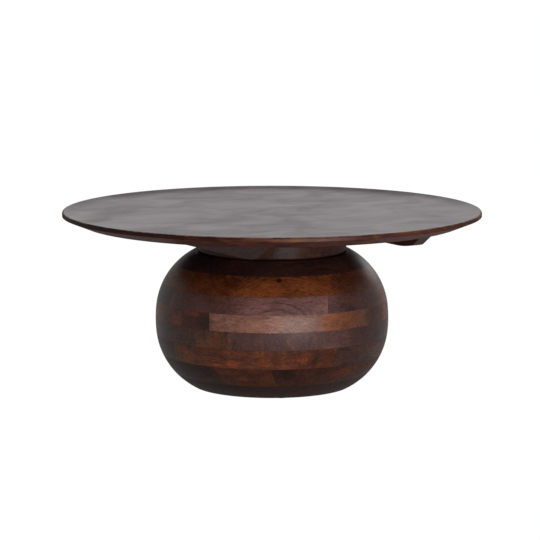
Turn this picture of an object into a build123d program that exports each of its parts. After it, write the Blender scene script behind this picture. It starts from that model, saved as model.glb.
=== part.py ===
from build123d import *
from math import asin, cos, degrees, floor, radians, sin
import os

# Round pedestal table: a turned, dished top stands on a laminated ball by a short drum neck.
# The origin is on the floor under the middle of the ball, +Z is up. The top's boards run
# along X and the two cross battens under them run along Y. Lengths are in millimetres and
# angles in degrees.

os.makedirs("parts", exist_ok=True)

# ---------------------------------------------------------------------------------------
# Driving sizes
# ---------------------------------------------------------------------------------------

# Tabletop, turned from boards that are glued edge to edge
top_radius = 500.0
top_thickness = 28.0
top_board_width = 112.0
outer_board_share = 0.75  # the two outer boards are at least this share of a board wide
dish_depth = 6.0  # from the crest of the rim down to the flat field
lip_run = 36.0  # width of the concave sweep between field and crest
crest_round = 4.0  # outer rounding of the crest
rim_height = 10.0  # upright band of the rim, crest included
bevel_run = 45.0  # how far the bevel runs in under the rim
edge_ease = 1.5  # small rounding of the battens' arrises and of the glides

# Cross battens, one each side of the neck
batten_length = 724.0
batten_width = 30.0
batten_depth = 43.0
batten_nose = 120.0  # length of the nose at each end, where the foot leaves the flat
batten_rise = 7.5  # how far the foot sweeps up before it turns into the slope at the end
slope_run = 53.0  # length of that slope
slope_round = 15.0  # rounding between sweep and slope
batten_gap = 18.0  # open gap between the neck and each batten

# Neck, a frame of four boards butted round a square hollow
neck_radius = 178.0
neck_height = 69.0
neck_hollow = 90.0  # half the side of the hollow
neck_round = 4.0

# Ball, eight frames of four boards, from the top down
ball_radius = 279.0
ball_side_arc = 300.0  # arc round the girth, in profile
ball_shoulder_arc = 168.0  # tighter arc over each shoulder, tangent to the side arc
ball_shoulder_start = 5.8  # angle above and below the girth where the shoulders begin
ball_layer_thicknesses = (31.0, 43.0, 41.0, 40.0, 42.0, 46.0, 45.0, 36.0)
ball_layer_turns = (0.0, 67.0, 58.0, -34.0, 9.0, 31.0, 28.0, 45.0)
core_room = 13.0  # from the washers out to the hollow of the six inner layers
base_hollow = 95.0  # half the side of the hollow in the bottom layer

# Bolts that pull the top, the neck and the ball's top layer together
bolt_count = 4
bolt_inset = 18.0  # from the neck's hollow out to the bolts
bolt_radius = 4.0
bolt_head_across_flats = 13.0
bolt_head_height = 5.3
bolt_reach = 13.4  # length of bolt inside its insert
bolt_play = 0.5  # all round, between the bolt and the wood
washer_radius = 12.0
washer_thickness = 1.6
insert_radius = 6.0
insert_length = 15.0

# Screws that hold the battens to the boards
screw_radius = 2.5
screw_head_radius = 6.0
screw_head_height = 3.6
screw_bite = 16.0  # length of screw inside the top
counterbore_depth = 22.0
counterbore_play = 0.8  # all round, between the head and its counterbore
slot_travel = 5.0  # how far a board can move along a batten

# Glides that carry the ball, two under each board of the bottom layer
glide_radius = 16.0
glide_height = 5.0
glide_inset = 38.0  # from the edge of the ball's flat bottom in to the glides' middles
glide_spread = 22.0  # angle of each glide from the middle of its board
glide_screw_radius = 2.0
glide_screw_head_radius = 4.0
glide_screw_bite = 14.0
glide_screw_sink = 1.0  # the heads lie this far above the floor face

thread_gap = 0.05  # all round, between a thread and its bore
bore_spare = 1.0  # blind bores are this much deeper than what they hold
quarter_turn = 90.0

# ---------------------------------------------------------------------------------------
# Heights and places worked out from the sizes
# ---------------------------------------------------------------------------------------

ball_height = sum(ball_layer_thicknesses)
ball_bottom = glide_height
ball_top = ball_bottom + ball_height
girth_height = ball_bottom + ball_height / 2
top_underside = ball_top + neck_height
crest_height = top_underside + top_thickness

# The shoulder arc touches the side arc from inside, at the angle where the shoulder starts.
side_centre = ball_radius - ball_side_arc
shoulder_centre = side_centre + (ball_side_arc - ball_shoulder_arc) * cos(radians(ball_shoulder_start))
shoulder_rise = (ball_side_arc - ball_shoulder_arc) * sin(radians(ball_shoulder_start))
shoulder_end = degrees(asin((ball_height / 2 - shoulder_rise) / ball_shoulder_arc))
ball_flat_radius = shoulder_centre + ball_shoulder_arc * cos(radians(shoulder_end))

bolt_circle = neck_hollow + bolt_inset
core_hollow = bolt_circle + washer_radius + core_room
ledge_underside = ball_top - ball_layer_thicknesses[0]
bolt_shank = washer_thickness + ball_layer_thicknesses[0] + neck_height + bolt_reach

# The outer boards take what the inner ones leave, so that neither is a thin strip.
inner_boards = floor(2 * (top_radius / top_board_width - outer_board_share))
inner_middles = [(row - (inner_boards - 1) / 2) * top_board_width for row in range(inner_boards)]
inner_reach = inner_boards * top_board_width / 2
outer_width = top_radius - inner_reach

batten_offset = neck_radius + batten_gap + batten_width / 2
batten_flat = batten_length / 2 - batten_nose
batten_underside = top_underside - batten_depth
screw_seat = batten_underside + counterbore_depth
screw_rows = sum(abs(middle) <= batten_flat for middle in inner_middles)

glide_circle = ball_flat_radius - glide_inset
glide_sink_depth = glide_screw_head_radius - glide_screw_radius

# ---------------------------------------------------------------------------------------
# Tabletop
# ---------------------------------------------------------------------------------------

with BuildPart() as turned_top:
    with BuildSketch(Plane(origin=(0, 0, crest_height), x_dir=(1, 0, 0), z_dir=(0, -1, 0))):
        with BuildLine():
            field_end = top_radius - crest_round - lip_run
            field = Line((0, -dish_depth), (field_end, -dish_depth))
            lip = TangentArc(field @ 1, (field_end + lip_run, 0), tangent=field % 1)
            crest = JernArc(start=lip @ 1, tangent=(1, 0), radius=crest_round, arc_size=-quarter_turn)
            Polyline(
                crest @ 1,
                (top_radius, -rim_height),
                (top_radius - bevel_run, -top_thickness),
                (0, -top_thickness),
                field @ 0,
            )
        make_face()
    revolve(axis=Axis.Z)
    # Blind bores for the threaded inserts
    with BuildSketch(Plane.XY.offset(top_underside)):
        with PolarLocations(bolt_circle, bolt_count):
            Circle(insert_radius + thread_gap)
    extrude(amount=insert_length + bore_spare, mode=Mode.SUBTRACT)
    # Blind bores for the battens' screws, two in the middle of each board that they reach
    with BuildSketch(Plane.XY.offset(top_underside)):
        with GridLocations(2 * batten_offset, top_board_width, 2, screw_rows):
            Circle(screw_radius + thread_gap)
    extrude(amount=screw_bite + bore_spare, mode=Mode.SUBTRACT)

outer_middle = inner_reach + outer_width / 2
board_middles = [-outer_middle] + inner_middles + [outer_middle]
board_widths = [outer_width] + [top_board_width] * inner_boards + [outer_width]
for row, (board_middle, board_width) in enumerate(zip(board_middles, board_widths)):
    with BuildPart() as top_board:
        with BuildSketch(Plane.XY.offset(top_underside)):
            with Locations((0, board_middle)):
                Rectangle(2 * top_radius, board_width)
        extrude(amount=top_thickness)
        add(turned_top.part, mode=Mode.INTERSECT)
    board_name = f"top_board_{row + 1}"
    top_board.part.label = board_name
    export_step(top_board.part, f"parts/{board_name}.step")

# ---------------------------------------------------------------------------------------
# Cross battens
# ---------------------------------------------------------------------------------------

for side, batten_name in ((-1, "batten_left"), (1, "batten_right")):
    inner_face = side * batten_offset - batten_width / 2
    with BuildPart() as batten:
        with BuildSketch(Plane(origin=(inner_face, 0, top_underside), x_dir=(0, 1, 0), z_dir=(1, 0, 0))):
            with BuildLine():
                foot = Line((-batten_flat, -batten_depth), (batten_flat, -batten_depth))
                slope_start = (batten_length / 2 - slope_run, batten_rise - batten_depth)
                sweep = TangentArc(foot @ 1, slope_start, tangent=foot % 1)
                slope = Line(sweep @ 1, (batten_length / 2, 0))
                mirror([sweep, slope], about=Plane.YZ)
                Line((-batten_length / 2, 0), (batten_length / 2, 0))
            make_face()
        extrude(amount=batten_width)
        fillet(batten.edges().filter_by(Axis.X).group_by(Axis.Z)[1], radius=slope_round)
        arrises = batten.edges().filter_by(Axis.X, reverse=True).sort_by(Axis.Z)[:-2]
        fillet(arrises, radius=edge_ease)
        # Slots for the shanks and wider, counterbored slots for the heads, along the batten
        with BuildSketch(Plane.XY.offset(batten_underside)):
            with Locations((side * batten_offset, 0)):
                with GridLocations(0, top_board_width, 1, screw_rows):
                    head_slot_width = 2 * (screw_head_radius + counterbore_play)
                    SlotOverall(head_slot_width + slot_travel, head_slot_width, rotation=quarter_turn)
        extrude(amount=counterbore_depth, mode=Mode.SUBTRACT)
        with BuildSketch(Plane.XY.offset(screw_seat)):
            with Locations((side * batten_offset, 0)):
                with GridLocations(0, top_board_width, 1, screw_rows):
                    shank_slot_width = 2 * (screw_radius + bolt_play)
                    SlotOverall(shank_slot_width + slot_travel, shank_slot_width, rotation=quarter_turn)
        extrude(amount=batten_depth - counterbore_depth, mode=Mode.SUBTRACT)
    batten.part.label = batten_name
    export_step(batten.part, f"parts/{batten_name}.step")

# Pan-head screws: the heads seat in the counterbores and the shanks end in a short point.
with BuildPart() as screw_blank:
    with BuildSketch(Plane(origin=(0, 0, screw_seat), x_dir=(1, 0, 0), z_dir=(0, -1, 0))):
        with BuildLine():
            screw_tip = top_underside - screw_seat + screw_bite
            Polyline(
                (0, -screw_head_height),
                (screw_head_radius - screw_head_height / 2, -screw_head_height),
                (screw_head_radius, -screw_head_height / 2),
                (screw_head_radius, 0),
                (screw_radius, 0),
                (screw_radius, screw_tip - screw_radius),
                (0, screw_tip),
                close=True,
            )
        make_face()
    revolve(axis=Axis.Z)

with BuildPart() as batten_screws:
    with GridLocations(2 * batten_offset, top_board_width, 2, screw_rows):
        add(screw_blank.part)
batten_screws.part.label = "batten_screws"
export_step(batten_screws.part, "parts/batten_screws.step")

# ---------------------------------------------------------------------------------------
# Frames of four boards: the neck and the layers of the ball
# ---------------------------------------------------------------------------------------


def board_of_frame(base, thickness, turn, hollow, left_handed):
    """One board of a frame of four, cut square.

    Each board butts one end against the face of the next, pinwheel fashion, round a square
    hollow. A left-handed frame has its butt joints at the other end of each board.
    """
    with BuildPart() as board:
        with BuildSketch(Plane.XY.offset(base).rotated((0, 0, turn))):
            butt_end = Align.MAX if left_handed else Align.MIN
            with Locations((hollow, hollow if left_handed else -hollow)):
                Rectangle(2 * ball_radius, 2 * ball_radius, align=(Align.MIN, butt_end))
        extrude(amount=thickness)
    return board.part


with BuildPart() as turned_neck:
    with BuildSketch(Plane.XY.offset(ball_top)):
        Circle(neck_radius)
    extrude(amount=neck_height)
    fillet(turned_neck.edges().filter_by(GeomType.CIRCLE).sort_by(Axis.Z)[0], radius=neck_round)
    with BuildSketch(Plane.XY.offset(ball_top)):
        with PolarLocations(bolt_circle, bolt_count):
            Circle(bolt_radius + bolt_play)
    extrude(amount=neck_height, mode=Mode.SUBTRACT)

for block in range(4):
    with BuildPart() as neck_block:
        add(turned_neck.part)
        add(
            board_of_frame(ball_top, neck_height, block * quarter_turn, neck_hollow, False),
            mode=Mode.INTERSECT,
        )
    block_name = f"neck_block_{block + 1}"
    neck_block.part.label = block_name
    export_step(neck_block.part, f"parts/{block_name}.step")

with BuildPart() as turned_ball:
    with BuildSketch(Plane(origin=(0, 0, girth_height), x_dir=(1, 0, 0), z_dir=(0, -1, 0))):
        with BuildLine():
            CenterArc((side_centre, 0), ball_side_arc, 0, ball_shoulder_start)
            shoulder = CenterArc(
                (shoulder_centre, shoulder_rise),
                ball_shoulder_arc,
                ball_shoulder_start,
                shoulder_end - ball_shoulder_start,
            )
            Polyline(shoulder @ 1, (0, ball_height / 2), (0, 0))
            mirror(about=Plane.XZ)
        make_face()
    revolve(axis=Axis.Z)
    # Bolt holes through the top layer
    with BuildSketch(Plane.XY.offset(ledge_underside)):
        with PolarLocations(bolt_circle, bolt_count):
            Circle(bolt_radius + bolt_play)
    extrude(amount=ball_layer_thicknesses[0], mode=Mode.SUBTRACT)
    # Blind bores for the glides' screws
    with BuildSketch(Plane.XY.offset(ball_bottom)):
        for spread in (-glide_spread, glide_spread):
            with PolarLocations(glide_circle, 4, start_angle=ball_layer_turns[-1] + spread):
                Circle(glide_screw_radius + thread_gap)
    extrude(amount=glide_screw_bite + bore_spare, mode=Mode.SUBTRACT)

# The top layer is open as wide as the neck, so that its ledge takes the bolts; the bottom
# layer is open enough for a hand and a wrench.
layer_count = len(ball_layer_thicknesses)
layer_hollows = [neck_hollow] + [core_hollow] * (layer_count - 2) + [base_hollow]
layer_top = ball_top
for layer in range(layer_count):
    layer_base = layer_top - ball_layer_thicknesses[layer]
    for block in range(4):
        with BuildPart() as ball_block:
            add(turned_ball.part)
            add(
                board_of_frame(
                    layer_base,
                    ball_layer_thicknesses[layer],
                    ball_layer_turns[layer] + block * quarter_turn,
                    layer_hollows[layer],
                    layer % 2 == 0,
                ),
                mode=Mode.INTERSECT,
            )
        block_name = f"ball_layer_{layer + 1}_block_{block + 1}"
        ball_block.part.label = block_name
        export_step(ball_block.part, f"parts/{block_name}.step")
    layer_top = layer_base

# ---------------------------------------------------------------------------------------
# Bolts, washers and threaded inserts
# ---------------------------------------------------------------------------------------

with BuildPart() as neck_bolts:
    head_top = ledge_underside - washer_thickness
    with BuildSketch(Plane.XY.offset(head_top - bolt_head_height)):
        with PolarLocations(bolt_circle, bolt_count):
            RegularPolygon(bolt_head_across_flats / 2, 6, major_radius=False)
    extrude(amount=bolt_head_height)
    with BuildSketch(Plane.XY.offset(head_top)):
        with PolarLocations(bolt_circle, bolt_count):
            Circle(bolt_radius)
    extrude(amount=bolt_shank)
    chamfer(neck_bolts.edges().group_by(Axis.Z)[-1], length=bolt_radius / 4)
neck_bolts.part.label = "neck_bolts"
export_step(neck_bolts.part, "parts/neck_bolts.step")

with BuildPart() as bolt_washers:
    with BuildSketch(Plane.XY.offset(ledge_underside - washer_thickness)):
        with PolarLocations(bolt_circle, bolt_count):
            Circle(washer_radius)
            Circle(bolt_radius + bolt_play, mode=Mode.SUBTRACT)
    extrude(amount=washer_thickness)
bolt_washers.part.label = "bolt_washers"
export_step(bolt_washers.part, "parts/bolt_washers.step")

with BuildPart() as threaded_inserts:
    with BuildSketch(Plane.XY.offset(top_underside)):
        with PolarLocations(bolt_circle, bolt_count):
            Circle(insert_radius)
            Circle(bolt_radius + thread_gap, mode=Mode.SUBTRACT)
    extrude(amount=insert_length)
threaded_inserts.part.label = "threaded_inserts"
export_step(threaded_inserts.part, "parts/threaded_inserts.step")

# ---------------------------------------------------------------------------------------
# Glides
# ---------------------------------------------------------------------------------------

with BuildPart() as glide_blank:
    with BuildSketch(Plane.XY):
        Circle(glide_radius)
    extrude(amount=glide_height)
    chamfer(glide_blank.edges().sort_by(Axis.Z)[0], length=edge_ease)
    with Locations(glide_blank.faces().sort_by(Axis.Z)[0]):
        CounterSinkHole(
            radius=glide_screw_radius + thread_gap,
            counter_sink_radius=glide_screw_head_radius + thread_gap + glide_screw_sink,
            counter_sink_angle=quarter_turn,
        )

# Flat-head screws with a 90 degree cone under the head
with BuildPart() as glide_screw_blank:
    with BuildSketch(Plane(origin=(0, 0, glide_screw_sink), x_dir=(1, 0, 0), z_dir=(0, -1, 0))):
        with BuildLine():
            glide_screw_tip = glide_height - glide_screw_sink + glide_screw_bite
            Polyline(
                (0, 0),
                (glide_screw_head_radius, 0),
                (glide_screw_radius, glide_sink_depth),
                (glide_screw_radius, glide_screw_tip - glide_screw_radius),
                (0, glide_screw_tip),
                close=True,
            )
        make_face()
    revolve(axis=Axis.Z)

with BuildPart() as glides:
    for spread in (-glide_spread, glide_spread):
        with PolarLocations(glide_circle, 4, start_angle=ball_layer_turns[-1] + spread):
            add(glide_blank.part)
glides.part.label = "glides"
export_step(glides.part, "parts/glides.step")

with BuildPart() as glide_screws:
    for spread in (-glide_spread, glide_spread):
        with PolarLocations(glide_circle, 4, start_angle=ball_layer_turns[-1] + spread):
            add(glide_screw_blank.part)
glide_screws.part.label = "glide_screws"
export_step(glide_screws.part, "parts/glide_screws.step")
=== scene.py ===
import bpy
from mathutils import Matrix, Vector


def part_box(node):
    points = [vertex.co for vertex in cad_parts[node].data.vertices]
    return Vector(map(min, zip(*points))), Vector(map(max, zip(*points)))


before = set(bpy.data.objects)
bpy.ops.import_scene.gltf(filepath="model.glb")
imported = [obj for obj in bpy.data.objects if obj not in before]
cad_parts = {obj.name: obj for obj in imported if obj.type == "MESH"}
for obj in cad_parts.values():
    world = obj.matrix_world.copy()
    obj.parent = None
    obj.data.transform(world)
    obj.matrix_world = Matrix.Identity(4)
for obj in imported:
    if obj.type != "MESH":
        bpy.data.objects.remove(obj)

"""Dresses the round pedestal table: its stained boards, its fasteners, the studio and the camera.

Lengths are in metres and angles in degrees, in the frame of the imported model: the origin is on
the floor under the middle of the ball, +Z is up, and the top's boards run along X.
"""

import logging
from dataclasses import dataclass, field
from enum import Enum
from math import atan, cos, degrees, radians, sin
from random import Random
from typing import Union

import bpy
from mathutils import Vector

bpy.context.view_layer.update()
MILLIMETRE = 0.001
log = logging.getLogger("pedestal_table")

Colour = tuple[float, float, float]
Triple = tuple[float, float, float]
Operand = Union["Signal", float, tuple[float, ...]]

WHITE: Colour = (1.0, 1.0, 1.0)
BLOCKS_PER_FRAME = 4

# Blots of noise to the metre in a board's own axes: across it, along its grain and up
DRIFT_BLOTS: Triple = (9.0, 3.0, 9.0)
RING_PATCH_BLOTS: Triple = (14.0, 4.0, 14.0)
BLOTCH_BLOTS: Triple = (22.0, 8.0, 22.0)
FLAME_BLOTS: Triple = (48.0, 16.0, 60.0)
MOTTLE_BLOTS: Triple = (95.0, 36.0, 120.0)
FLECK_BLOTS: Triple = (260.0, 90.0, 260.0)
FIBRE_BLOTS: Triple = (330.0, 11.0, 330.0)
PORE_BLOTS: Triple = (420.0, 46.0, 420.0)
HAIR_BLOTS: Triple = (1300.0, 60.0, 1300.0)

DRIFT_REACH: Triple = (0.016, 0.0, 0.016)  # metres, over the drift's whole range
MARK_EDGE = 1.2  # where a mark has faded out, in squares of its half sizes


# ---------------------------------------------------------------------------------------
# Shader maths
# ---------------------------------------------------------------------------------------


class Signal:
    """A number, vector or colour on its way through a shader, which Python's operators work on."""

    def __init__(self, graph: "ShaderGraph", socket: bpy.types.NodeSocket) -> None:
        """Wraps one output socket.

        Args:
            graph: the graph that further nodes go into.
            socket: the output that this signal stands for.
        """
        self.graph = graph
        self.socket = socket

    def _join(self, operation: str, *operands: Operand) -> "Signal":
        """Adds a Math node, or a Vector Math node where a vector or a colour takes part.

        Args:
            operation: the node's operation.
            operands: what the node works on, in order.

        Returns:
            The node's result.
        """
        wide = any(
            one.socket.type in {"VECTOR", "RGBA"}
            if isinstance(one, Signal)
            else isinstance(one, tuple)
            for one in operands
        )
        kind = "ShaderNodeVectorMath" if wide else "ShaderNodeMath"
        return self.graph.add(kind, {"operation": operation}, dict(enumerate(operands)))

    def __add__(self, other: Operand) -> "Signal":
        """self + other"""
        return self._join("ADD", self, other)

    def __radd__(self, other: Operand) -> "Signal":
        """other + self"""
        return self._join("ADD", other, self)

    def __sub__(self, other: Operand) -> "Signal":
        """self - other"""
        return self._join("SUBTRACT", self, other)

    def __rsub__(self, other: Operand) -> "Signal":
        """other - self"""
        return self._join("SUBTRACT", other, self)

    def __mul__(self, other: Operand) -> "Signal":
        """self * other"""
        return self._join("MULTIPLY", self, other)

    def __rmul__(self, other: Operand) -> "Signal":
        """other * self"""
        return self._join("MULTIPLY", other, self)

    def __truediv__(self, other: Operand) -> "Signal":
        """self / other"""
        return self._join("DIVIDE", self, other)

    def __mod__(self, other: Operand) -> "Signal":
        """self modulo other, never negative"""
        return self._join("FLOORED_MODULO", self, other)

    def __abs__(self) -> "Signal":
        """The size of self without its sign"""
        return self._join("ABSOLUTE", self)

    def at_least(self, other: Operand) -> "Signal":
        """The larger of self and other"""
        return self._join("MAXIMUM", self, other)

    def root(self) -> "Signal":
        """The square root of self"""
        return self._join("SQRT", self)

    def step(self, low: float, high: float) -> "Signal":
        """A smooth step of self.

        Args:
            low: where the step starts, at 0.
            high: where it ends, at 1; below low, the step falls instead.

        Returns:
            A mask from 0 to 1.
        """
        limits = {"Value": self, "From Min": min(low, high), "From Max": max(low, high)}
        rising = self.graph.add("ShaderNodeMapRange", {"interpolation_type": "SMOOTHSTEP"}, limits)
        return rising if high > low else 1.0 - rising


class ShaderGraph:
    """A material's or the world's node tree, filled by expressions."""

    def __init__(self, tree: bpy.types.NodeTree) -> None:
        """Empties the tree.

        Args:
            tree: the node tree to fill.
        """
        self.tree = tree
        tree.nodes.clear()

    def add(
        self,
        kind: str,
        settings: dict[str, object] | None = None,
        inputs: dict[str | int, Operand] | None = None,
        output: str | int = 0,
    ) -> Signal:
        """Adds one node.

        Args:
            kind: the node's type.
            settings: its settings, set first; "stops" are the stops of a colour ramp.
            inputs: values or signals for its sockets, by name or number.
            output: the socket that the result is read from, by name or number.

        Returns:
            The chosen output.
        """
        node = self.tree.nodes.new(kind)
        for name, value in (settings or {}).items():
            if name == "stops":
                self._set_stops(node.color_ramp, value)
            else:
                setattr(node, name, value)
        for name, value in (inputs or {}).items():
            socket = node.inputs[name]
            if isinstance(value, Signal):
                self.tree.links.new(value.socket, socket)
            else:
                socket.default_value = self._fitted(socket, value)
        return Signal(self, node.outputs[output] if node.outputs else None)

    @staticmethod
    def _fitted(socket: bpy.types.NodeSocket, value: Operand) -> Operand:
        """Fits a plain value to a socket: a number fills a vector, and a colour gets its alpha"""
        if socket.type in {"VECTOR", "RGBA"} and not isinstance(value, tuple):
            value = (value, value, value)
        return (*value, 1.0) if socket.type == "RGBA" and len(value) == 3 else value

    @staticmethod
    def _set_stops(ramp: bpy.types.ColorRamp, stops: list[tuple[float, Colour]]) -> None:
        """Gives a colour ramp its stops.

        Args:
            ramp: the ramp.
            stops: the stops, each a place from 0 to 1 and a colour.
        """
        while len(ramp.elements) < len(stops):
            ramp.elements.new(1.0)
        for element, (place, colour) in zip(ramp.elements, stops):
            element.position = place
            element.color = (*colour, 1.0)

    def place(self) -> Signal:
        """The point of the surface, in metres"""
        return self.add("ShaderNodeTexCoord", output="Object")

    def facing(self) -> Signal:
        """The way that the surface faces, a vector of length 1"""
        return self.add("ShaderNodeTexCoord", output="Normal")

    def split(self, vector: Signal) -> tuple[Signal, Signal, Signal]:
        """Takes a vector apart.

        Args:
            vector: the vector.

        Returns:
            Its X, Y and Z.
        """
        x = self.add("ShaderNodeSeparateXYZ", {}, {"Vector": vector})
        node = x.socket.node
        return x, Signal(self, node.outputs[1]), Signal(self, node.outputs[2])

    def turned(self, vector: Signal, angle: float) -> Signal:
        """The vector turned about Z by an angle in degrees"""
        turn = {"Vector": vector, "Angle": radians(angle)}
        return self.add("ShaderNodeVectorRotate", {"rotation_type": "Z_AXIS"}, turn)

    def noise(
        self, vector: Signal, detail: float = 2.0, roughness: float = 0.5, distortion: float = 0.0
    ) -> Signal:
        """Soft noise from 0 to 1, with one blot to a unit of the vector.

        Args:
            vector: the place that the noise is read at.
            detail: how many finer octaves lie over the blots.
            roughness: how strong each octave is against the one before.
            distortion: how far the blots are smeared.

        Returns:
            The noise.
        """
        inputs = {
            "Vector": vector,
            "Scale": 1.0,
            "Detail": detail,
            "Roughness": roughness,
            "Distortion": distortion,
        }
        return self.add("ShaderNodeTexNoise", {}, inputs)

    def cells(self, vector: Signal) -> Signal:
        """The distance to the nearest of scattered points, one to a unit of the vector"""
        return self.add("ShaderNodeTexVoronoi", {}, {"Vector": vector, "Scale": 1.0}, "Distance")

    def mix(self, share: Operand, first: Operand, second: Operand) -> Signal:
        """A blend of two colours.

        Args:
            share: how much of the second shows, from 0 to 1.
            first: the colour at 0.
            second: the colour at 1.

        Returns:
            The blended colour.
        """
        colour_sockets = {0: share, 6: first, 7: second}
        return self.add("ShaderNodeMix", {"data_type": "RGBA"}, colour_sockets, 2)

    def lerp(self, share: Operand, first: Operand, second: Operand) -> Signal:
        """A blend of two numbers, the second at a share of 1"""
        return self.add("ShaderNodeMix", {}, {0: share, 2: first, 3: second})

    def from_axis(self) -> Signal:
        """How far the point lies from the table's axis"""
        x, y, _ = self.split(self.place())
        return (x * x + y * y).root()

    def bump(self, strength: float, distance: float, height: Signal, **more: Signal) -> Signal:
        """The surface's normal with a relief in it.

        Args:
            strength: how strongly the relief shows.
            distance: how deep it is.
            height: the relief, from low to high.
            more: further sockets of the node.

        Returns:
            The normal.
        """
        relief = {"Strength": strength, "Distance": distance, "Height": height, **more}
        return self.add("ShaderNodeBump", {}, relief)

    def finish(self, shader: Signal, kind: str = "ShaderNodeOutputMaterial") -> None:
        """Leads a shader to the tree's output"""
        self.add(kind, {}, {"Surface": shader})


class Finish:
    """A surface finish: it shades a material of its own."""

    def shade(self, graph: ShaderGraph) -> Signal:
        """Builds the finish's shader in a graph and returns it"""
        raise NotImplementedError

    def material(self, name: str) -> bpy.types.Material:
        """Makes a material of this finish.

        Args:
            name: the material's name.

        Returns:
            The material.
        """
        made = bpy.data.materials.new(name)
        made.use_nodes = True
        graph = ShaderGraph(made.node_tree)
        graph.finish(self.shade(graph))
        return made


# ---------------------------------------------------------------------------------------
# Finishes
# ---------------------------------------------------------------------------------------


@dataclass(frozen=True)
class Tone:
    """The colours of a stained board, from its pores to where it took least stain."""

    deep: Colour
    body: Colour
    light: Colour


class Stain(Enum):
    """The tones that the boards of the table have under their stain."""

    NEAR_BLACK = Tone((0.010, 0.004, 0.003), (0.030, 0.012, 0.010), (0.060, 0.024, 0.018))
    DARK_BROWN = Tone((0.018, 0.007, 0.006), (0.062, 0.023, 0.016), (0.120, 0.048, 0.030))
    PURPLE_BROWN = Tone((0.026, 0.011, 0.011), (0.088, 0.038, 0.033), (0.155, 0.072, 0.060))
    RED_BROWN = Tone((0.026, 0.008, 0.005), (0.095, 0.026, 0.012), (0.200, 0.060, 0.022))
    ORANGE_BROWN = Tone((0.036, 0.010, 0.004), (0.165, 0.043, 0.013), (0.300, 0.092, 0.027))
    PALE_ROSE = Tone((0.064, 0.026, 0.018), (0.195, 0.084, 0.058), (0.320, 0.150, 0.105))
    GREY_UMBER = Tone((0.020, 0.008, 0.012), (0.056, 0.024, 0.032), (0.100, 0.046, 0.056))


@dataclass(frozen=True)
class BoardAxes:
    """How a board lies in the table: its grain runs along its own Y and its width along its X."""

    turn: float  # degrees from the table's X to the board's X
    pith: tuple[float, float]  # the middle of the growth rings, across the board and up
    shift: Triple  # moves the pattern, so that no two boards are alike


@dataclass(frozen=True)
class Mark:
    """A ragged patch of figure in a turned block, such as a knot, a flame or a dark wedge; the
    broad dark patches on the ball's left and right flanks are partly painted shade.
    """

    bearing: float  # degrees round the table's axis, from X
    height: float  # above the floor
    half_width: float  # along the girth
    half_height: float
    tint: Colour  # what the stain's colour is multiplied by
    raggedness: float = 2.6
    softness: float = 0.9


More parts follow.
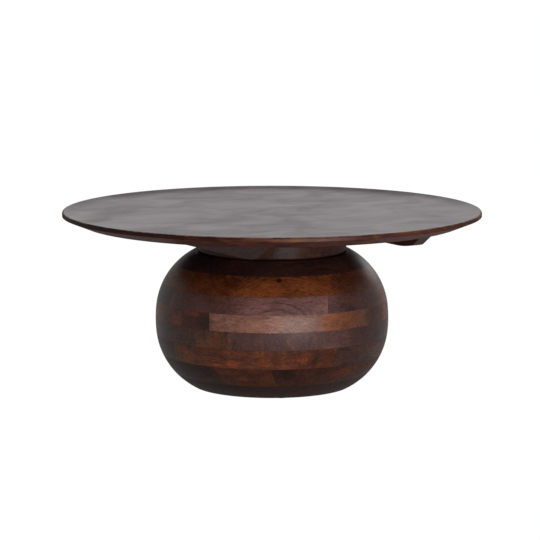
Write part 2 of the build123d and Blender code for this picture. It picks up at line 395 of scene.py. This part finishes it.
@dataclass(frozen=True)
class WoodFinish(Finish):
    """Dark stain under satin lacquer, on a board with rings, fibres and pores."""

    stain: Stain
    axes: BoardAxes
    strength: float = 1.0  # how light the stain took, over the stain's own colours; on the ball's blocks and the neck partly painted shade and sheen as well
    ring_pitch: float = 0.0055
    ring_strength: float = 0.20
    ring_drift: float = 2.2  # rings that the drift moves, over its whole range
    crown: float = 0.0  # per metre, how the rings bow into arches along the board
    crown_place: float = 0.0  # where along the board the arches peak
    tone_middle: float = 0.52
    fibre_strength: float = 0.64
    hair_strength: float = 0.35
    fleck_strength: float = 0.5
    mottle_strength: float = 0.8
    mottle_blots: Triple = MOTTLE_BLOTS
    pore_strength: float = 0.32
    flame_strength: float = 0.0  # bright flames of figure, over the whole board
    end_grain_share: float = 1.0  # how far the stain darkens end grain
    end_grain_tint: Colour = (0.42, 0.32, 0.27)
    roughness: float = 0.50
    lacquer_share: float = 0.38  # how much of the open grain the lacquer fills
    lacquer_roughness: float = 0.36
    lacquer_index: float = 1.5
    seam_heights: tuple[float, ...] = ()
    seam_half: float = 0.35 * MILLIMETRE
    seam_strength: float = 0.7
    relief_strength: float = 0.35
    relief_depth: float = 0.12 * MILLIMETRE
    marks: tuple[Mark, ...] = ()
    worn_arrises: float = 0.0  # how far the stain is rubbed off the arrises
    arris_width: float = 1.2 * MILLIMETRE
    rub_blots: float = 60.0  # rubbed patches to the metre
    worn_colour: Colour = (0.34, 0.15, 0.10)

    def figure(self, graph: ShaderGraph) -> tuple[Signal, Signal, Signal]:
        """Draws the wood itself.

        Args:
            graph: the graph to draw in.

        Returns:
            The tone from dark 0 to light 1, the fibres and the pores.
        """
        shift = self.axes.shift
        own = graph.turned(graph.place(), -self.axes.turn)
        drift = graph.noise(own * DRIFT_BLOTS + shift) - 0.5
        wavy = own + drift * DRIFT_REACH
        across, along, up = graph.split(wavy - (self.axes.pith[0], 0.0, self.axes.pith[1]))
        along = along - self.crown_place
        from_pith = (across * across + up * up).root() + along * along * self.crown
        age = (from_pith / self.ring_pitch + drift * self.ring_drift) % 1.0
        late_wood = age.step(0.45, 0.95) * age.step(1.0, 0.95)
        ring_share = graph.noise(own * RING_PATCH_BLOTS + shift).step(0.40, 0.70)
        ring_share = ring_share.at_least(self.end_grain(graph) * 0.9)
        blotch = graph.noise(own * BLOTCH_BLOTS + shift, 3.0, 0.55) - 0.5
        fibre = graph.noise(wavy * FIBRE_BLOTS + shift, 3.0, 0.6) - 0.5
        hair = graph.noise(own * HAIR_BLOTS + shift) - 0.5
        flecks = graph.noise(own * FLECK_BLOTS + shift) - 0.5
        mottle = graph.noise(wavy * self.mottle_blots + shift, 3.0, 0.62, 0.8) - 0.5
        pores = graph.cells(wavy * PORE_BLOTS + shift).step(0.34, 0.10)
        tone = self.tone_middle + blotch + fibre * self.fibre_strength + hair * self.hair_strength
        tone = tone + flecks * self.fleck_strength - late_wood * ring_share * self.ring_strength
        tone = tone + mottle * self.mottle_strength - pores * self.pore_strength
        if self.flame_strength:
            waves = graph.noise(wavy * FLAME_BLOTS + shift, 3.0, 0.6, 1.2)
            tone = tone + (waves.step(0.50, 0.72) - waves.step(0.50, 0.34)) * self.flame_strength
        return tone, fibre + hair * 0.4, pores

    def end_grain(self, graph: ShaderGraph) -> Signal:
        """How squarely the surface cuts across the fibres, from 0 to 1"""
        _, along, _ = graph.split(graph.turned(graph.facing(), -self.axes.turn))
        return (along * along).step(0.03, 0.62) * self.end_grain_share

    def marked(self, graph: ShaderGraph, colour: Signal) -> Signal:
        """Lays the placed marks over the board's own figure; on the ball's flanks some of them are
        partly painted shade.

        Args:
            graph: the graph to build in.
            colour: the colour of the board.

        Returns:
            The colour with its marks.
        """
        if not self.marks:
            return colour
        place = graph.place()
        own = graph.turned(place, -self.axes.turn)
        ragged = graph.noise(own * self.mottle_blots - self.axes.shift, 3.0, 0.6, 0.6) - 0.5
        for mark in self.marks:
            _, aside, height = graph.split(graph.turned(place, -mark.bearing))
            aside = aside / mark.half_width
            above = (height - mark.height) / mark.half_height
            reach = aside * aside + above * above + ragged * mark.raggedness
            inside = reach.step(MARK_EDGE, MARK_EDGE - mark.softness)
            colour = colour * graph.mix(inside, WHITE, mark.tint)
        return colour

    def rounded(self, graph: ShaderGraph) -> Signal | None:
        """Eases the arrises, where they are worn.

        Args:
            graph: the graph to build in.

        Returns:
            The way that the eased surface faces, or nothing on a board with sharp arrises.
        """
        if not self.worn_arrises:
            return None
        return graph.add("ShaderNodeBevel", {"samples": 4}, {"Radius": self.arris_width})

    def rubbed(self, graph: ShaderGraph, colour: Signal, rounded: Signal) -> Signal:
        """Rubs the stain off the arrises.

        Args:
            graph: the graph to build in.
            colour: the colour of the board.
            rounded: the way that the eased surface faces.

        Returns:
            The rubbed colour.
        """
        flat = graph.add("ShaderNodeNewGeometry", output="True Normal")
        apart = {"operation": "DISTANCE"}
        away = graph.add("ShaderNodeVectorMath", apart, {0: rounded, 1: flat}, "Value")
        patches = graph.noise(graph.place() * self.rub_blots, 3.0).step(0.35, 0.60)
        share = away.step(0.10, 0.45) * patches * self.worn_arrises
        return graph.mix(share, colour, self.worn_colour)

    def lacquer(self, graph: ShaderGraph, pores: Signal) -> Operand:
        """How much lacquer lies on the surface, which the pores leave open"""
        return self.lacquer_share * (1.0 - pores * 0.5)

    def seams(self, graph: ShaderGraph) -> Signal | None:
        """Draws the glue lines at the board's upper and lower faces.

        Args:
            graph: the graph to build in.

        Returns:
            The lines as a mask, or nothing on a board without them.
        """
        if not self.seam_heights:
            return None
        _, _, height = graph.split(graph.place())
        lines = None
        for seam_height in self.seam_heights:
            line = abs(height - seam_height).step(self.seam_half, self.seam_half * 0.3)
            lines = line if lines is None else lines.at_least(line)
        return lines

    def wear(self, graph: ShaderGraph, colour: Signal) -> Signal:
        """The colour with its wear; plain boards have none"""
        return colour

    def shade(self, graph: ShaderGraph) -> Signal:
        """Builds the stained and lacquered board.

        Args:
            graph: the graph to build in.

        Returns:
            The shader.
        """
        tone, fibre, pores = self.figure(graph)
        colours = self.stain.value
        shades = {0.0: colours.deep, 0.5: colours.body, 1.0: colours.light}
        stops = [
            (place, tuple(self.strength * channel for channel in shade))
            for place, shade in shades.items()
        ]
        colour = graph.add("ShaderNodeValToRGB", {"stops": stops}, {"Fac": tone})
        seams = self.seams(graph)
        if seams is not None:
            colour = graph.mix(seams * self.seam_strength, colour, colours.deep)
        dried = graph.mix(self.end_grain(graph), WHITE, self.end_grain_tint)
        colour = self.wear(graph, self.marked(graph, colour) * dried)
        eased = {}
        rounded = self.rounded(graph)
        if rounded is not None:
            colour = self.rubbed(graph, colour, rounded)
            eased["Normal"] = rounded
        height = fibre * 0.5 - pores
        sockets = {
            "Base Color": colour,
            "Roughness": self.roughness - fibre * 0.10 + pores * 0.10,
            "Specular IOR Level": 0.0,  # the lacquer alone gives the sheen
            "Coat Weight": self.lacquer(graph, pores),
            "Coat Roughness": self.lacquer_roughness,
            "Coat IOR": self.lacquer_index,
            "Normal": graph.bump(self.relief_strength, self.relief_depth, height, **eased),
        }
        return graph.add("ShaderNodeBsdfPrincipled", {}, sockets)


@dataclass(frozen=True)
class RimmedWoodFinish(WoodFinish):
    """The tabletop's finish: lacquer flowed on its face, an oiled rim, and a crest rubbed bare."""

    rim_radius: float = 0.5
    crest_height: float = 0.426
    field_height: float = 0.420
    band_height: float = 0.010  # of the rim's upright band, below the crest
    arris_reach: float = 0.005  # how far in from the rim the crest's wear goes
    crest_wear: float = 0.75
    rim_tint: Colour = (1.30, 1.10, 0.66)  # the oiled bevel is warmer than the lacquered face
    band_tint: Colour = (0.75, 0.62, 0.56)  # and the upright band darker again
    oiled_share: float = 0.12  # what lacquer the bevel, the band and the crest's arris have
    warm_share: float = 0.6
    warm_colour: Colour = (0.19, 0.062, 0.020)
    crest_blots: Triple = (34.0, 34.0, 70.0)  # to the metre, in the table's own axes
    warm_blots: Triple = (13.0, 13.0, 42.0)
    cloud_blots: Triple = (6.5, 8.5, 1.0)
    streak_blots: Triple = (5.0, 60.0, 1.0)
    flowed_share: float = 0.66  # the lacquer of the face between its clouds
    cloud_share: float = 0.30  # what the clouds add
    streak_share: float = 0.18
    pore_share: float = 0.04

    def wear(self, graph: ShaderGraph, colour: Signal) -> Signal:
        """Tints the oiled rim and rubs the stain off its crest, in patches.

        Args:
            graph: the graph to build in.
            colour: the colour of the board.

        Returns:
            The worn colour.
        """
        place = graph.place()
        _, _, z = graph.split(place)
        near_rim = graph.from_axis().step(
            self.rim_radius - self.arris_reach, self.rim_radius - 1.0 * MILLIMETRE
        )
        crest = z.step(self.crest_height - 2.0 * MILLIMETRE, self.crest_height - 0.6 * MILLIMETRE)
        patches = graph.noise(place * self.crest_blots, 3.0, 0.6)
        worn = near_rim * crest * patches.step(0.38, 0.60)
        outside = self.outside(graph)
        oiled = colour * graph.mix(outside, WHITE, self.rim_tint)
        band_foot = self.crest_height - self.band_height
        band = near_rim * z.step(band_foot - 0.8 * MILLIMETRE, band_foot)
        banded = oiled * graph.mix(band, WHITE, self.band_tint)
        warm = outside * graph.noise(place * self.warm_blots, 3.0).step(0.50, 0.74)
        warmed = graph.mix(warm * self.warm_share, banded, self.warm_colour)
        return graph.mix(worn * self.crest_wear, warmed, self.worn_colour)

    def outside(self, graph: ShaderGraph) -> Signal:
        """Finds the rim's upright band and the bevel under it.

        Args:
            graph: the graph to build in.

        Returns:
            Both as one mask.
        """
        _, _, z = graph.split(graph.place())
        band = graph.from_axis().step(
            self.rim_radius - 1.6 * MILLIMETRE, self.rim_radius - 0.6 * MILLIMETRE
        )
        under = z.step(self.field_height - 0.8 * MILLIMETRE, self.field_height - 1.6 * MILLIMETRE)
        return band.at_least(under)

    def lacquer(self, graph: ShaderGraph, pores: Signal) -> Operand:
        """Lays the lacquer: thick in clouds on the upper face, and thin on the oiled rim.

        Args:
            graph: the graph to build in.
            pores: the pores, which take a little of it.

        Returns:
            How much lacquer lies on the surface.
        """
        place = graph.place()
        clouds = graph.noise(place * self.cloud_blots, 4.0, 0.55, 0.8)
        streaks = graph.noise(place * self.streak_blots + self.axes.shift, 3.0) - 0.5
        flowed = self.flowed_share + clouds.step(0.28, 0.72) * self.cloud_share
        flowed = flowed + streaks * self.streak_share - pores * self.pore_share
        arris = graph.from_axis().step(
            self.rim_radius - self.arris_reach, self.rim_radius - 2.0 * MILLIMETRE
        )
        return graph.lerp(self.outside(graph).at_least(arris), flowed, self.oiled_share)


@dataclass(frozen=True)
class MetalFinish(Finish):
    """Plated or bare metal with fine turning marks."""

    colour: Colour
    roughness: float = 0.32
    cloud_blots: float = 240.0  # to the metre
    mark_blots: Triple = (40.0, 40.0, 900.0)  # turning marks, close together along the axis
    dulled_share: float = 0.78

    def shade(self, graph: ShaderGraph) -> Signal:
        """Builds the metal.

        Args:
            graph: the graph to build in.

        Returns:
            The shader.
        """
        place = graph.place()
        clouds = graph.noise(place * self.cloud_blots, 3.0) - 0.5
        marks = graph.noise(place * self.mark_blots) - 0.5
        dulled = tuple(self.dulled_share * channel for channel in self.colour)
        sockets = {
            "Base Color": graph.mix(clouds + 0.5, dulled, self.colour),
            "Metallic": 1.0,
            "Roughness": self.roughness + clouds * 0.14 + marks * 0.10,
            "Normal": graph.bump(0.2, 0.02 * MILLIMETRE, marks),
        }
        return graph.add("ShaderNodeBsdfPrincipled", {}, sockets)


@dataclass(frozen=True)
class PlasticFinish(Finish):
    """Moulded nylon with a fine spark texture and scuffs."""

    colour: Colour = (0.035, 0.034, 0.033)
    spark_blots: float = 1500.0  # to the metre
    scuff_blots: Triple = (90.0, 420.0, 90.0)
    scuff_gain: float = 2.4  # how much paler the nylon is where it is scuffed

    def shade(self, graph: ShaderGraph) -> Signal:
        """Builds the plastic.

        Args:
            graph: the graph to build in.

        Returns:
            The shader.
        """
        place = graph.place()
        spark = graph.noise(place * self.spark_blots) - 0.5
        scuffs = graph.noise(place * self.scuff_blots, 3.0).step(0.55, 0.75)
        scuffed = tuple(self.scuff_gain * channel for channel in self.colour)
        sockets = {
            "Base Color": graph.mix(scuffs * 0.5, self.colour, scuffed),
            "Roughness": 0.5 + spark * 0.2 + scuffs * 0.15,
            "Normal": graph.bump(0.4, 0.04 * MILLIMETRE, spark),
        }
        return graph.add("ShaderNodeBsdfPrincipled", {}, sockets)


# ---------------------------------------------------------------------------------------
# Sub-assemblies
# ---------------------------------------------------------------------------------------


def dress(node: str, finish: Finish) -> None:
    """Gives a node of the model its finish.

    Args:
        node: the node's name.
        finish: the finish that all its faces take.
    """
    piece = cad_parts[node]
    material = finish.material(f"{node}_finish")
    for material_slot in piece.material_slots:
        material_slot.material = material
    log.info("dressed %s with %s", node, type(finish).__name__)


def shifted(seed: int) -> Triple:
    """A place in the pattern for the board with this seed"""
    draw = Random(seed)
    return tuple(round(draw.uniform(-40.0, 40.0), 2) for _ in range(3))


@dataclass
class Tabletop:
    """The round top, turned from boards that are glued edge to edge."""

    stain: Stain = Stain.GREY_UMBER
    board_turn: float = -90.0  # the boards' grain runs along the table's X
    pith_aside: float = 0.03  # by turns to one side and the other
    pith_below: float = 0.05
    first_seed: int = 100

    def build(self) -> None:
        """Dresses every board of the top"""
        boards = sorted(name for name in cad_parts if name.startswith("top_board_"))
        crest = max(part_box(board)[1].z for board in boards)
        rim = max(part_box(board)[1].x for board in boards)
        for number, board in enumerate(boards):
            low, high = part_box(board)
            across = -(low.y + high.y) / 2
            pith_aside = self.pith_aside if number % 2 else -self.pith_aside
            pith = (across + pith_aside, low.z - self.pith_below)
            axes = BoardAxes(self.board_turn, pith, shifted(self.first_seed + number))
            finish = RimmedWoodFinish(
                self.stain,
                axes,
                lacquer_roughness=0.34,
                lacquer_index=1.6,
                rim_radius=rim,
                crest_height=crest,
            )
            dress(board, finish)


@dataclass
class Battens:
    """The two cross battens on edge under the top."""

    stain: Stain = Stain.DARK_BROWN
    pith_below: float = 0.04
    first_seed: int = 200

    def build(self) -> None:
        """Dresses both battens"""
        for number, batten in enumerate(("batten_left", "batten_right")):
            low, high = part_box(batten)
            pith = ((low.x + high.x) / 2, low.z - self.pith_below)
            axes = BoardAxes(0.0, pith, shifted(self.first_seed + number))
            finish = WoodFinish(
                self.stain, axes, strength=0.8, lacquer_share=0.24, worn_arrises=0.5
            )
            dress(batten, finish)


@dataclass
class Neck:
    """The short drum between top and ball, four blocks round a hollow."""

    stain: Stain = Stain.DARK_BROWN
    pith: tuple[float, float] = (0.10, 0.30)  # across from the axis, and above the floor
    first_seed: int = 300

    def build(self) -> None:
        """Dresses the four blocks"""
        for block in range(BLOCKS_PER_FRAME):
            axes = BoardAxes(90.0 * block, self.pith, shifted(self.first_seed + block))
            finish = WoodFinish(
                self.stain,
                axes,
                # the low strength is partly painted shade: the drum stands under the top, in its
                # shadow
                strength=0.46,
                end_grain_share=0.5,
                lacquer_share=0.12,
                lacquer_roughness=0.34,
            )
            dress(f"neck_block_{block + 1}", finish)


@dataclass
class BallLayer:
    """One frame of four boards in the ball."""

    turn: float
    stains: tuple[Stain, Stain, Stain, Stain]
    # how light each block is; partly painted light: blocks on the flanks, away from the key lamp,
    # are set darker, and some in the middle lighter where the sheen falls
    strengths: tuple[float, float, float, float] = (1.0, 1.0, 1.0, 1.0)
    flame_strength: float = 0.0
    end_grain_share: float = 1.0
    pith: tuple[float, float] = (0.12, -0.05)  # across from the axis, and up from the layer's foot
    ring_pitch: float = 0.0055
    ring_strength: float = 0.24
    crown: float = 0.0
    crown_place: float = 0.0
    mottle_blots: Triple = MOTTLE_BLOTS
    lacquer_share: float = 0.33
    marks: tuple[Mark, ...] = ()


@dataclass
class Ball:
    """The squashed ball: eight glued frames, each turned against the next, from the top down."""

    layers: list[BallLayer] = field(
        default_factory=lambda: [
            BallLayer(
                0.0,
                (Stain.NEAR_BLACK,) * BLOCKS_PER_FRAME,
                (0.8,) * BLOCKS_PER_FRAME,
                end_grain_share=0.3,
            ),
            BallLayer(
                67.0,
                (Stain.ORANGE_BROWN, Stain.ORANGE_BROWN, Stain.ORANGE_BROWN, Stain.RED_BROWN),
                (0.9, 0.56, 0.70, 0.7),
                flame_strength=0.06,
                end_grain_share=0.6,
                pith=(0.10, 0.015),
                mottle_blots=(95.0, 70.0, 95.0),
                marks=(
                    Mark(-117.2, 0.2904, 0.0080, 0.0055, (0.22, 0.20, 0.20), 0.8),  # a knot
                    # these two darken the left flank: partly dark figure, partly painted shade
                    Mark(-144.0, 0.2850, 0.0260, 0.0150, (0.50, 0.48, 0.52)),
                    Mark(-156.0, 0.2930, 0.0330, 0.0085, (0.55, 0.55, 0.60)),
                    Mark(-164.0, 0.2740, 0.0160, 0.0170, (1.50, 1.35, 1.15)),
                    Mark(-126.0, 0.2690, 0.0560, 0.0200, (1.28, 1.26, 1.15)),
                    # darkens the right flank: partly dark figure, partly painted shade
                    Mark(-72.0, 0.2740, 0.0750, 0.0420, (0.55, 0.60, 0.78), 1.0),
                ),
            ),
            BallLayer(
                58.0,
                (Stain.DARK_BROWN, Stain.PURPLE_BROWN, Stain.PURPLE_BROWN, Stain.PURPLE_BROWN),
                # partly painted light: the dark second block is painted shade on the left flank,
                # and the light third block painted sheen in the middle
                (1.0, 0.36, 1.50, 1.30),
                end_grain_share=0.35,
                pith=(0.10, 0.02),
                ring_strength=0.34,
                marks=(
                    # darkens the right flank: partly dark figure, partly painted shade
                    Mark(-68.0, 0.2340, 0.1000, 0.0560, (0.40, 0.34, 0.33), 0.6, 1.1),
                    Mark(-79.0, 0.2400, 0.0260, 0.0095, (1.50, 1.28, 1.02)),
                    Mark(-79.0, 0.2180, 0.0200, 0.0080, (0.62, 0.62, 0.66)),
                    # darkens the left flank: partly dark figure, partly painted shade
                    Mark(-160.0, 0.2350, 0.1250, 0.0640, (0.50, 0.38, 0.32), 0.8, 1.1),
                ),
            ),
            BallLayer(
                -34.0,
                (Stain.RED_BROWN, Stain.ORANGE_BROWN, Stain.RED_BROWN, Stain.PALE_ROSE),
                (1.0, 0.8, 0.95, 1.02),
                flame_strength=0.06,
                pith=(0.235, -0.055),
                ring_pitch=0.0062,
                ring_strength=0.36,
                crown=14.0,
                crown_place=0.033,
                mottle_blots=(95.0, 60.0, 110.0),
                marks=(
                    Mark(-174.0, 0.1900, 0.0220, 0.0200, (2.50, 2.30, 1.50)),
                    Mark(-164.0, 0.2090, 0.0260, 0.0080, (2.60, 2.40, 1.50)),
                    # darkens the left flank: partly dark figure, partly painted shade
                    Mark(-155.5, 0.1920, 0.0240, 0.0160, (0.50, 0.52, 0.62)),
                    Mark(-87.0, 0.1940, 0.0560, 0.0300, (1.10, 0.90, 0.55), 1.2),
                    # darkens the right flank: partly dark figure, partly painted shade
                    Mark(-60.0, 0.1940, 0.0540, 0.0320, (0.42, 0.36, 0.40), 1.0),
                ),
            ),
            BallLayer(
                9.0,
                (Stain.DARK_BROWN, Stain.PURPLE_BROWN, Stain.DARK_BROWN, Stain.PURPLE_BROWN),
                (0.8, 1.0, 0.62, 0.82),
                end_grain_share=0.25,
                mottle_blots=(110.0, 110.0, 30.0),
                marks=(
                    # darkens the right flank: partly dark figure, partly painted shade
                    Mark(-66.0, 0.1530, 0.1050, 0.0520, (0.42, 0.34, 0.32), 0.8, 1.1),
                    Mark(-151.0, 0.1510, 0.0520, 0.0260, (1.85, 1.60, 1.15), 5.0, 0.6),
                    Mark(-112.0, 0.1500, 0.0140, 0.0200, (1.35, 1.25, 1.10), 4.0, 0.8),
                    Mark(-82.0, 0.1550, 0.0240, 0.0140, (1.35, 1.15, 1.00)),
                ),
            ),
            BallLayer(
                31.0,
                (Stain.ORANGE_BROWN, Stain.DARK_BROWN, Stain.RED_BROWN, Stain.DARK_BROWN),
                (0.8, 0.8, 0.90, 0.62),
                flame_strength=0.22,
                end_grain_share=0.6,
                mottle_blots=(95.0, 60.0, 80.0),
                lacquer_share=0.27,
                marks=(
                    Mark(-141.0, 0.0990, 0.0170, 0.0090, (1.80, 1.60, 1.20)),
                    Mark(-149.5, 0.0925, 0.0120, 0.0050, (1.60, 1.45, 1.15)),
                    Mark(-125.0, 0.1100, 0.0150, 0.0060, (1.55, 1.45, 1.20)),
                    Mark(-105.0, 0.1090, 0.0190, 0.0110, (1.45, 1.35, 1.10)),
                    Mark(-65.5, 0.0920, 0.0200, 0.0110, (0.55, 0.58, 0.66)),
                ),
            ),
            BallLayer(
                28.0,
                (Stain.NEAR_BLACK, Stain.DARK_BROWN, Stain.RED_BROWN, Stain.RED_BROWN),
                (1.0, 0.8, 0.54, 0.38),
                flame_strength=0.16,
                end_grain_share=0.6,
                mottle_blots=(95.0, 70.0, 60.0),
                lacquer_share=0.20,
                marks=(
                    Mark(-135.5, 0.0600, 0.0210, 0.0080, (1.50, 1.30, 1.10)),
                    Mark(-114.0, 0.0720, 0.0250, 0.0140, (0.60, 0.58, 0.62)),
                    Mark(-82.5, 0.0680, 0.0330, 0.0140, (1.50, 1.22, 1.05)),
                    # dark up to a clean line, as the neighbour across a seam would be
                    Mark(-172.0, 0.0660, 0.0860, 0.0600, (0.50, 0.58, 0.70), 0.0, 0.06),
                ),
            ),
            BallLayer(
                45.0,
                (Stain.NEAR_BLACK,) * BLOCKS_PER_FRAME,
                (0.75,) * BLOCKS_PER_FRAME,
                end_grain_share=0.3,
                lacquer_share=0.14,
            ),
        ]
    )
    first_seed: int = 400

    def build(self) -> None:
        """Dresses every block of every layer"""
        for number, layer in enumerate(self.layers):
            for block in range(BLOCKS_PER_FRAME):
                node = f"ball_layer_{number + 1}_block_{block + 1}"
                low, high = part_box(node)
                axes = BoardAxes(
                    layer.turn + 90.0 * block,
                    (layer.pith[0], low.z + layer.pith[1]),
                    shifted(self.first_seed + BLOCKS_PER_FRAME * number + block),
                )
                finish = WoodFinish(
                    layer.stains[block],
                    axes,
                    strength=layer.strengths[block],
                    flame_strength=layer.flame_strength,
                    end_grain_share=layer.end_grain_share,
                    ring_pitch=layer.ring_pitch,
                    ring_strength=layer.ring_strength,
                    crown=layer.crown,
                    crown_place=layer.crown_place,
                    mottle_blots=layer.mottle_blots,
                    lacquer_share=layer.lacquer_share,
                    marks=layer.marks,
                    seam_heights=(low.z, high.z),
                )
                dress(node, finish)


@dataclass
class Fasteners:
    """Bolts, washers, inserts and screws, and the glides that they hold."""

    zinc: Colour = (0.62, 0.62, 0.60)
    brass: Colour = (0.70, 0.53, 0.25)

    def build(self) -> None:
        """Dresses every group of fasteners"""
        for node in ("neck_bolts", "bolt_washers", "batten_screws", "glide_screws"):
            dress(node, MetalFinish(self.zinc))
        dress("threaded_inserts", MetalFinish(self.brass))
        dress("glides", PlasticFinish())


# ---------------------------------------------------------------------------------------
# Studio
# ---------------------------------------------------------------------------------------


@dataclass(frozen=True)
class Softbox:
    """A soft lamp, placed about the table's axis and aimed at a point on it."""

    name: str
    azimuth: float  # degrees from the table's X
    elevation: float
    distance: float
    width: float
    height: float
    power: float
    aim_height: float = 0.25

    def build(self) -> None:
        """Sets up the lamp"""
        lamp = bpy.data.lights.new(self.name, "AREA")
        lamp.shape = "RECTANGLE"
        lamp.size = self.width
        lamp.size_y = self.height
        lamp.energy = self.power
        stand = bpy.data.objects.new(self.name, lamp)
        aim = Vector((0.0, 0.0, self.aim_height))
        bearing, rise = radians(self.azimuth), radians(self.elevation)
        level = cos(rise)
        offset = self.distance * Vector((level * cos(bearing), level * sin(bearing), sin(rise)))
        stand.location = aim + offset
        stand.rotation_euler = offset.to_track_quat("Z", "Y").to_euler()
        bpy.context.scene.collection.objects.link(stand)
        log.info("set up %s", self.name)


@dataclass
class Studio:
    """A pale floor, white surroundings and soft lamps."""

    floor_reach: float = 40.0
    floor_colour: Colour = (0.42, 0.42, 0.42)
    floor_glow: float = 1.08  # so that the floor is white away from the shadow
    fill: float = 0.34  # what the surroundings give to diffuse surfaces
    ceiling: Colour = (0.22, 0.22, 0.22)  # the surroundings overhead, as against the white walls
    ceiling_rise: tuple[float, float] = (0.24, 0.58)  # sines of where it starts and is whole
    shadow_share: float = 0.07  # how much of the floor's own shading the camera sees
    lamps: list[Softbox] = field(
        default_factory=lambda: [
            # the key lamp is little higher than the tabletop, which so mirrors almost none of it
            Softbox("overhead_lamp", 60.0, 58.0, 3.4, 3.0, 2.4, 38.0),
            Softbox("key_lamp", -99.0, 0.0, 4.2, 2.6, 0.42, 124.0),
            Softbox("shoulder_lamp", 32.0, 11.0, 4.0, 1.4, 0.8, 12.0),
        ]
    )

    @staticmethod
    def white_rays(graph: ShaderGraph) -> Signal:
        """Finds the rays that see the white surroundings.

        Args:
            graph: the graph to build in.

        Returns:
            The camera, glossy and transmission rays as a mask.
        """
        camera = graph.add("ShaderNodeLightPath", output="Is Camera Ray")
        rays = camera.socket.node.outputs
        glossy = Signal(graph, rays["Is Glossy Ray"])
        return camera.at_least(glossy).at_least(Signal(graph, rays["Is Transmission Ray"]))

    def build_world(self) -> None:
        """White walls and a dimmer ceiling where seen or mirrored, and a soft fill elsewhere"""
        world = bpy.data.worlds.new("studio_world")
        bpy.context.scene.world = world
        world.use_nodes = True
        graph = ShaderGraph(world.node_tree)
        lit = graph.add("ShaderNodeBackground", {}, {"Color": WHITE, "Strength": self.fill})
        _, _, rise = graph.split(graph.add("ShaderNodeTexCoord", output="Generated"))
        room = graph.mix(rise.step(*self.ceiling_rise), WHITE, self.ceiling)
        seen = graph.add("ShaderNodeBackground", {}, {"Color": room, "Strength": 1.0})
        both = graph.add("ShaderNodeMixShader", {}, {0: self.white_rays(graph), 1: lit, 2: seen})
        graph.finish(both, "ShaderNodeOutputWorld")

    def build_floor(self) -> None:
        """A pale floor that melts into the white behind it and keeps a soft shadow"""
        mesh = bpy.data.meshes.new("studio_floor")
        reach = self.floor_reach
        signs = ((-1, -1), (1, -1), (1, 1), (-1, 1))
        corners = [(x * reach, y * reach, 0.0) for x, y in signs]
        mesh.from_pydata(corners, [], [(0, 1, 2, 3)])
        floor = bpy.data.objects.new("studio_floor", mesh)
        bpy.context.scene.collection.objects.link(floor)
        material = bpy.data.materials.new("studio_floor")
        material.use_nodes = True
        graph = ShaderGraph(material.node_tree)
        matt = graph.add("ShaderNodeBsdfDiffuse", {}, {"Color": self.floor_colour})
        glow = {"Color": WHITE, "Strength": self.floor_glow}
        bright = graph.add("ShaderNodeEmission", {}, glow)
        share = self.white_rays(graph) * (1.0 - self.shadow_share)
        graph.finish(graph.add("ShaderNodeMixShader", {}, {0: share, 1: matt, 2: bright}))
        mesh.materials.append(material)

    def build(self) -> None:
        """Sets up the whole studio"""
        self.build_world()
        self.build_floor()
        for lamp in self.lamps:
            lamp.build()


@dataclass(frozen=True)
class Viewpoint:
    """The camera, level with no roll, a little above the top."""

    distance: float = 6.763  # from the table's axis, along the floor
    azimuth: float = -121.17  # degrees from the table's X
    height: float = 1.2725
    tilt: float = 8.343  # degrees down
    lens: float = 190.37
    sensor: float = 36.0
    frame_width: int = 540  # pixels
    axis_column: float = 272.0  # the pixel column of the table's axis

    def build(self) -> None:
        """Sets up the camera and makes it the scene's own"""
        camera_data = bpy.data.cameras.new("viewpoint")
        camera_data.lens = self.lens
        camera_data.sensor_width = self.sensor
        camera = bpy.data.objects.new("viewpoint", camera_data)
        toward = radians(self.azimuth)
        camera.location = (self.distance * cos(toward), self.distance * sin(toward), self.height)
        pixels_per_lens = self.frame_width * self.lens / self.sensor
        aside = degrees(atan((self.axis_column - self.frame_width / 2) / pixels_per_lens))
        heading = self.azimuth + 90.0 + aside
        camera.rotation_euler = (radians(90.0 - self.tilt), 0.0, radians(heading))
        bpy.context.scene.collection.objects.link(camera)
        bpy.context.scene.camera = camera
        log.info("set up the camera")


def main() -> None:
    """Dresses the table, piece by piece, and sets up the studio round it"""
    logging.basicConfig(level=logging.INFO, format="%(message)s")
    for part in (Tabletop(), Battens(), Neck(), Ball(), Fasteners(), Studio(), Viewpoint()):
        part.build()
    bpy.context.scene.view_settings.view_transform = "Standard"


if __name__ == "__main__":
    main()
